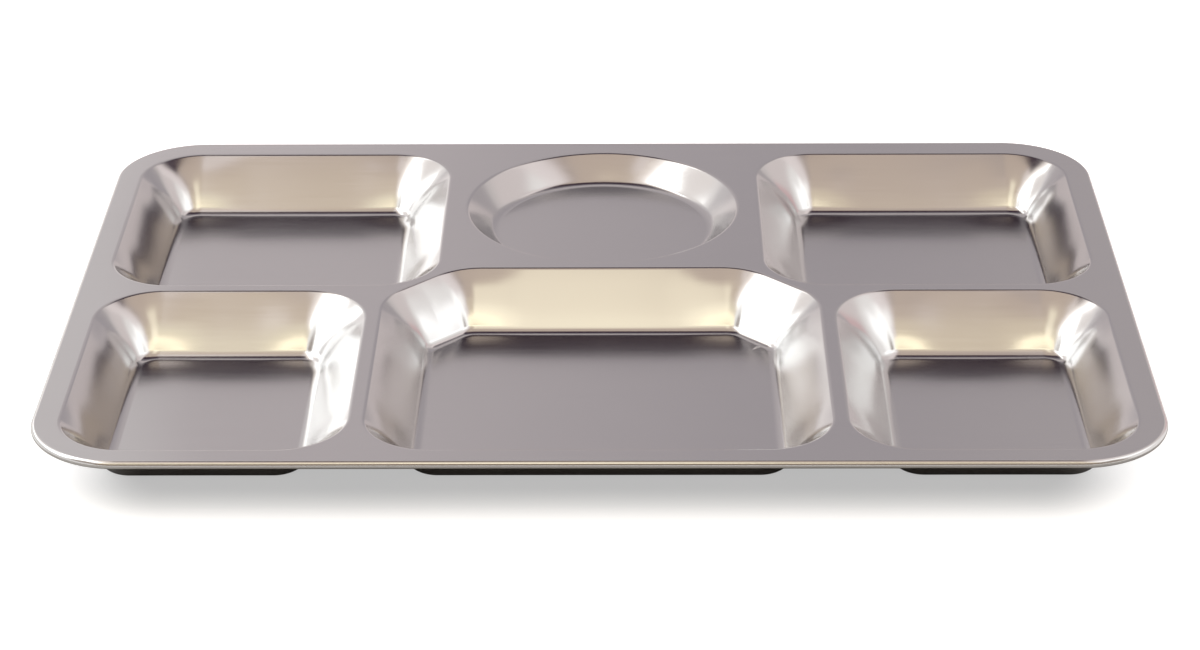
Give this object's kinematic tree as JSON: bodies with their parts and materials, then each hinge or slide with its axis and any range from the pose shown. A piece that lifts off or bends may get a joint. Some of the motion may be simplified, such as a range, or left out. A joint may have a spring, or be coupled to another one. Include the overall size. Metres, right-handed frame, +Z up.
{
  "type": "divided compartment plate",
  "caption": "Rectangular stainless steel mess tray with pressed food wells, a shallow round cup well and an edge rolled round a wire.",
  "frame": {"origin": "middle of the overall length and width, at the level that the undersides of the deep wells rest on", "axes": "+X to the eater's right along the length, +Y away from the eater towards the round well, +Z up out of the wells"},
  "size_m": [0.395, 0.28, 0.02],
  "materials": {
    "stainless_sheet": "satin, lightly brushed stainless steel",
    "steel_wire": "drawn steel wire, hidden inside the rolled edge"
  },
  "bodies": {
    "root": {"pressed_tray": "stainless_sheet", "rim_wire": "steel_wire"}
  },
  "joints": []
}
